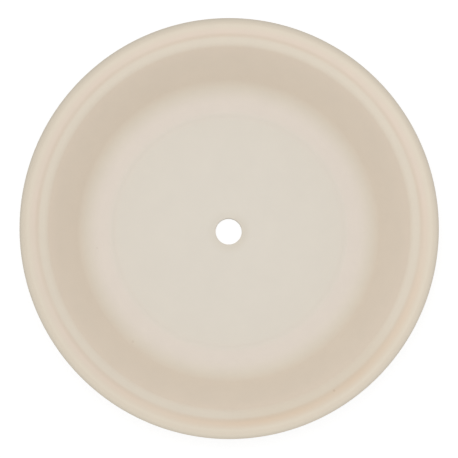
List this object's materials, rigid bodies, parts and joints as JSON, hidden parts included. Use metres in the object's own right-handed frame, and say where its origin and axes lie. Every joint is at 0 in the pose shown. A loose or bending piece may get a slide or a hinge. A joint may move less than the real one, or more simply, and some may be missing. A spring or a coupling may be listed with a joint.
{
  "type": "pump diaphragm",
  "caption": "Dished round diaphragm moulded in cream rubber, with a rod hole in its flat floor, a sloping wall that flexes and a clamping rim that ends in a rounded bead.",
  "frame": {"origin": "centre of the underside of the flat floor, on the axis of the rod hole", "axes": "+Z along the rod hole's axis, out of the dish's open side; the disc is round about Z, so X and Y are any two directions across it"},
  "size_m": [0.2, 0.2, 0.0291],
  "materials": {
    "moulded_rubber": "matte cream thermoplastic rubber, as moulded"
  },
  "bodies": {
    "root": {"diaphragm": "moulded_rubber"}
  },
  "joints": []
}
